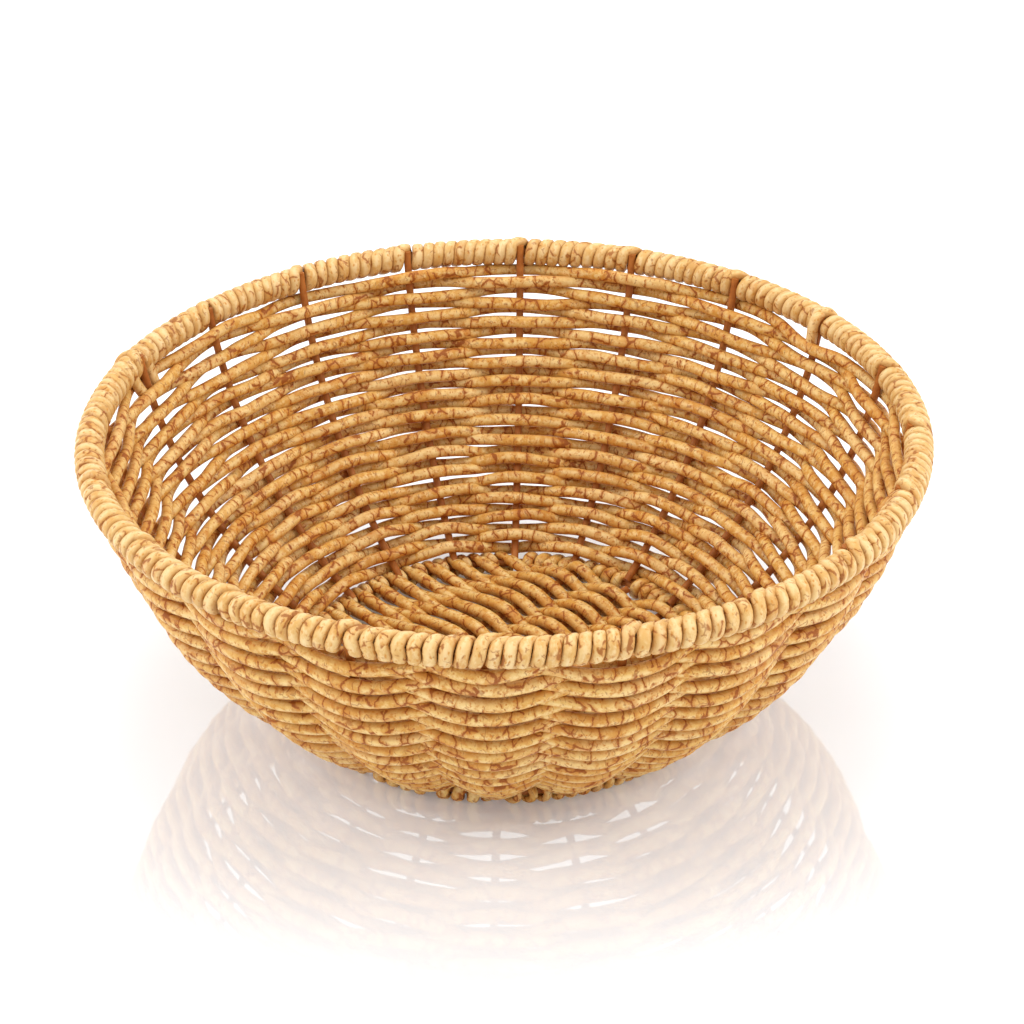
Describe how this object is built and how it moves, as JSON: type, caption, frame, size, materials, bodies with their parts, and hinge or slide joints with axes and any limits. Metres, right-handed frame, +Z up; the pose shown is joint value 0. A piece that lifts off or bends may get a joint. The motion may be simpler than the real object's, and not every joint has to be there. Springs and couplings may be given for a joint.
{
  "type": "bread basket",
  "caption": "Round open bread basket, woven from round cane over a wire frame, with a wrapped rim and a flat woven base that it stands on.",
  "frame": {"origin": "centre of the foot, on the surface that the basket stands on", "axes": "+Z up out of the bowl; the bowl is round about Z; +Y points to the back"},
  "size_m": [0.23, 0.23, 0.0853],
  "materials": {
    "cane": "mottled honey cane with brown veins, satin",
    "rim_cane": "paler cream cane with brown specks, satin",
    "wire": "brown coated steel wire, satin"
  },
  "bodies": {
    "root": {"rim_wire": "wire", "rim_wrap": "rim_cane", "base_ring_wire": "wire", "base_ring_wrap": "cane", "base_cross_wires": "wire", "base_strands": "cane", "stake_1": "wire", "stake_2": "wire", "stake_3": "wire", "stake_4": "wire", "stake_5": "wire", "stake_6": "wire", "stake_7": "wire", "stake_8": "wire", "stake_9": "wire", "stake_10": "wire", "stake_11": "wire", "stake_12": "wire", "stake_13": "wire", "stake_14": "wire", "stake_15": "wire", "stake_16": "wire", "stake_17": "wire", "stake_18": "wire", "stake_19": "wire", "stake_20": "wire", "weaver_row_1": "cane", "weaver_row_2": "cane", "weaver_row_3": "cane", "weaver_row_4": "cane", "weaver_row_5": "cane", "weaver_row_6": "cane", "weaver_row_7": "cane", "weaver_row_8": "cane", "weaver_row_9": "cane", "weaver_row_10": "cane", "weaver_row_11": "cane", "weaver_row_12": "cane", "weaver_row_13": "cane", "weaver_row_14": "cane", "weaver_row_15": "cane", "weaver_row_16": "cane", "weaver_row_17": "cane", "weaver_row_18": "cane", "weaver_row_19": "cane", "weaver_row_20": "cane", "weaver_row_21": "cane", "weaver_row_22": "cane", "weaver_row_23": "cane", "weaver_row_24": "cane", "weaver_row_25": "cane", "weaver_row_26": "cane", "weaver_row_27": "cane", "weaver_row_28": "cane", "weaver_row_29": "cane"}
  },
  "joints": []
}
